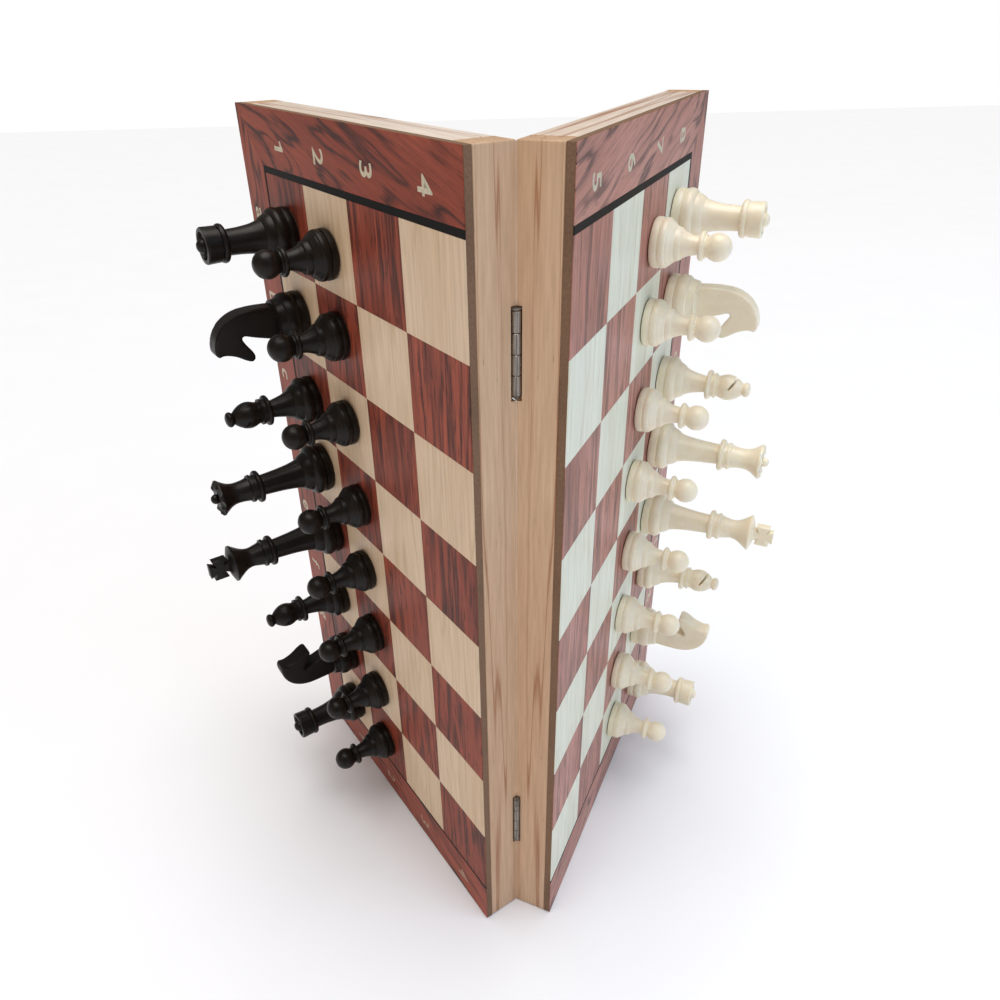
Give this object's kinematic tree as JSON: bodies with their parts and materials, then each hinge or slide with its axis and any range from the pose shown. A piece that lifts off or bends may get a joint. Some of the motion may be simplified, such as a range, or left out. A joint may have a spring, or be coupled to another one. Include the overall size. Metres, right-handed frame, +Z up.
{
  "type": "chess set with board",
  "caption": "Folding magnetic wooden chess board, standing half open on its end, with black and ivory plastic men held on its outer faces",
  "frame": {"origin": "middle of the footprint, on the ground plane the board stands on", "axes": "+Z up along the files, from file h to file a; +Y from the spine to the open side; +X across, from the black men to the ivory men"},
  "size_m": [0.2324, 0.1376, 0.298],
  "materials": {
    "pine": "satin",
    "fibreboard": "matt",
    "steel_sheet": "matt",
    "rosewood_veneer": "satin",
    "hinge_steel": "satin",
    "black_plastic": "satin",
    "ivory_plastic": "satin"
  },
  "bodies": {
    "left_half": {"left_spine_rail": "pine", "left_outer_rail": "pine", "left_top_rail": "pine", "left_bottom_rail": "pine", "left_base_panel": "fibreboard", "left_steel_sheet": "steel_sheet", "left_board_veneer": "rosewood_veneer", "upper_hinge_left_leaf": "hinge_steel", "lower_hinge_left_leaf": "hinge_steel", "upper_hinge_pin": "hinge_steel", "lower_hinge_pin": "hinge_steel", "clasp_pivot_screw": "hinge_steel"},
    "right_half": {"right_spine_rail": "pine", "right_outer_rail": "pine", "right_top_rail": "pine", "right_bottom_rail": "pine", "right_base_panel": "fibreboard", "right_steel_sheet": "steel_sheet", "right_board_veneer": "rosewood_veneer", "upper_hinge_right_leaf": "hinge_steel", "lower_hinge_right_leaf": "hinge_steel", "clasp_stud": "hinge_steel"},
    "clasp_hook": {"clasp_hook": "hinge_steel"},
    "black_rook_a1": {"black_rook_a1": "black_plastic"},
    "black_pawn_a2": {"black_pawn_a2": "black_plastic"},
    "black_knight_b1": {"black_knight_b1": "black_plastic"},
    "black_pawn_b2": {"black_pawn_b2": "black_plastic"},
    "black_bishop_c1": {"black_bishop_c1": "black_plastic"},
    "black_pawn_c2": {"black_pawn_c2": "black_plastic"},
    "black_queen_d1": {"black_queen_d1": "black_plastic"},
    "black_pawn_d2": {"black_pawn_d2": "black_plastic"},
    "black_king_e1": {"black_king_e1": "black_plastic"},
    "black_pawn_e2": {"black_pawn_e2": "black_plastic"},
    "black_bishop_f1": {"black_bishop_f1": "black_plastic"},
    "black_pawn_f2": {"black_pawn_f2": "black_plastic"},
    "black_knight_g1": {"black_knight_g1": "black_plastic"},
    "black_pawn_g2": {"black_pawn_g2": "black_plastic"},
    "black_rook_h1": {"black_rook_h1": "black_plastic"},
    "black_pawn_h2": {"black_pawn_h2": "black_plastic"},
    "white_rook_a8": {"white_rook_a8": "ivory_plastic"},
    "white_pawn_a7": {"white_pawn_a7": "ivory_plastic"},
    "white_knight_b8": {"white_knight_b8": "ivory_plastic"},
    "white_pawn_b7": {"white_pawn_b7": "ivory_plastic"},
    "white_bishop_c8": {"white_bishop_c8": "ivory_plastic"},
    "white_pawn_c7": {"white_pawn_c7": "ivory_plastic"},
    "white_queen_d8": {"white_queen_d8": "ivory_plastic"},
    "white_pawn_d7": {"white_pawn_d7": "ivory_plastic"},
    "white_king_e8": {"white_king_e8": "ivory_plastic"},
    "white_pawn_e7": {"white_pawn_e7": "ivory_plastic"},
    "white_bishop_f8": {"white_bishop_f8": "ivory_plastic"},
    "white_pawn_f7": {"white_pawn_f7": "ivory_plastic"},
    "white_knight_g8": {"white_knight_g8": "ivory_plastic"},
    "white_pawn_g7": {"white_pawn_g7": "ivory_plastic"},
    "white_rook_h8": {"white_rook_h8": "ivory_plastic"},
    "white_pawn_h7": {"white_pawn_h7": "ivory_plastic"}
  },
  "joints": [
    {"name": "fold", "type": "hinge", "parent": "left_half", "child": "right_half", "pos_m": [-0.00025, -0.06148, 0.149], "axis": [0, 0, -1], "range_deg": [-59, 121]},
    {"name": "clasp_swing", "type": "hinge", "parent": "left_half", "child": "clasp_hook", "pos_m": [-0.08108, 0.06617, 0.149], "axis": [-0.4924, 0.8704, 0], "continuous": true},
    {"name": "lift_black_rook_a1", "type": "slide", "parent": "left_half", "child": "black_rook_a1", "axis": [-0.8704, -0.4924, 0], "range_m": [0, 0.07]},
    {"name": "lift_black_pawn_a2", "type": "slide", "parent": "left_half", "child": "black_pawn_a2", "axis": [-0.8704, -0.4924, 0], "range_m": [0, 0.07]},
    {"name": "lift_black_knight_b1", "type": "slide", "parent": "left_half", "child": "black_knight_b1", "axis": [-0.8704, -0.4924, 0], "range_m": [0, 0.07]},
    {"name": "lift_black_pawn_b2", "type": "slide", "parent": "left_half", "child": "black_pawn_b2", "axis": [-0.8704, -0.4924, 0], "range_m": [0, 0.07]},
    {"name": "lift_black_bishop_c1", "type": "slide", "parent": "left_half", "child": "black_bishop_c1", "axis": [-0.8704, -0.4924, 0], "range_m": [0, 0.07]},
    {"name": "lift_black_pawn_c2", "type": "slide", "parent": "left_half", "child": "black_pawn_c2", "axis": [-0.8704, -0.4924, 0], "range_m": [0, 0.07]},
    {"name": "lift_black_queen_d1", "type": "slide", "parent": "left_half", "child": "black_queen_d1", "axis": [-0.8704, -0.4924, 0], "range_m": [0, 0.07]},
    {"name": "lift_black_pawn_d2", "type": "slide", "parent": "left_half", "child": "black_pawn_d2", "axis": [-0.8704, -0.4924, 0], "range_m": [0, 0.07]},
    {"name": "lift_black_king_e1", "type": "slide", "parent": "left_half", "child": "black_king_e1", "axis": [-0.8704, -0.4924, 0], "range_m": [0, 0.07]},
    {"name": "lift_black_pawn_e2", "type": "slide", "parent": "left_half", "child": "black_pawn_e2", "axis": [-0.8704, -0.4924, 0], "range_m": [0, 0.07]},
    {"name": "lift_black_bishop_f1", "type": "slide", "parent": "left_half", "child": "black_bishop_f1", "axis": [-0.8704, -0.4924, 0], "range_m": [0, 0.07]},
    {"name": "lift_black_pawn_f2", "type": "slide", "parent": "left_half", "child": "black_pawn_f2", "axis": [-0.8704, -0.4924, 0], "range_m": [0, 0.07]},
    {"name": "lift_black_knight_g1", "type": "slide", "parent": "left_half", "child": "black_knight_g1", "axis": [-0.8704, -0.4924, 0], "range_m": [0, 0.07]},
    {"name": "lift_black_pawn_g2", "type": "slide", "parent": "left_half", "child": "black_pawn_g2", "axis": [-0.8704, -0.4924, 0], "range_m": [0, 0.07]},
    {"name": "lift_black_rook_h1", "type": "slide", "parent": "left_half", "child": "black_rook_h1", "axis": [-0.8704, -0.4924, 0], "range_m": [0, 0.07]},
    {"name": "lift_black_pawn_h2", "type": "slide", "parent": "left_half", "child": "black_pawn_h2", "axis": [-0.8704, -0.4924, 0], "range_m": [0, 0.07]},
    {"name": "lift_white_rook_a8", "type": "slide", "parent": "right_half", "child": "white_rook_a8", "axis": [0.8704, -0.4924, 0], "range_m": [0, 0.07]},
    {"name": "lift_white_pawn_a7", "type": "slide", "parent": "right_half", "child": "white_pawn_a7", "axis": [0.8704, -0.4924, 0], "range_m": [0, 0.07]},
    {"name": "lift_white_knight_b8", "type": "slide", "parent": "right_half", "child": "white_knight_b8", "axis": [0.8704, -0.4924, 0], "range_m": [0, 0.07]},
    {"name": "lift_white_pawn_b7", "type": "slide", "parent": "right_half", "child": "white_pawn_b7", "axis": [0.8704, -0.4924, 0], "range_m": [0, 0.07]},
    {"name": "lift_white_bishop_c8", "type": "slide", "parent": "right_half", "child": "white_bishop_c8", "axis": [0.8704, -0.4924, 0], "range_m": [0, 0.07]},
    {"name": "lift_white_pawn_c7", "type": "slide", "parent": "right_half", "child": "white_pawn_c7", "axis": [0.8704, -0.4924, 0], "range_m": [0, 0.07]},
    {"name": "lift_white_queen_d8", "type": "slide", "parent": "right_half", "child": "white_queen_d8", "axis": [0.8704, -0.4924, 0], "range_m": [0, 0.07]},
    {"name": "lift_white_pawn_d7", "type": "slide", "parent": "right_half", "child": "white_pawn_d7", "axis": [0.8704, -0.4924, 0], "range_m": [0, 0.07]},
    {"name": "lift_white_king_e8", "type": "slide", "parent": "right_half", "child": "white_king_e8", "axis": [0.8704, -0.4924, 0], "range_m": [0, 0.07]},
    {"name": "lift_white_pawn_e7", "type": "slide", "parent": "right_half", "child": "white_pawn_e7", "axis": [0.8704, -0.4924, 0], "range_m": [0, 0.07]},
    {"name": "lift_white_bishop_f8", "type": "slide", "parent": "right_half", "child": "white_bishop_f8", "axis": [0.8704, -0.4924, 0], "range_m": [0, 0.07]},
    {"name": "lift_white_pawn_f7", "type": "slide", "parent": "right_half", "child": "white_pawn_f7", "axis": [0.8704, -0.4924, 0], "range_m": [0, 0.07]},
    {"name": "lift_white_knight_g8", "type": "slide", "parent": "right_half", "child": "white_knight_g8", "axis": [0.8704, -0.4924, 0], "range_m": [0, 0.07]},
    {"name": "lift_white_pawn_g7", "type": "slide", "parent": "right_half", "child": "white_pawn_g7", "axis": [0.8704, -0.4924, 0], "range_m": [0, 0.07]},
    {"name": "lift_white_rook_h8", "type": "slide", "parent": "right_half", "child": "white_rook_h8", "axis": [0.8704, -0.4924, 0], "range_m": [0, 0.07]},
    {"name": "lift_white_pawn_h7", "type": "slide", "parent": "right_half", "child": "white_pawn_h7", "axis": [0.8704, -0.4924, 0], "range_m": [0, 0.07]}
  ]
}
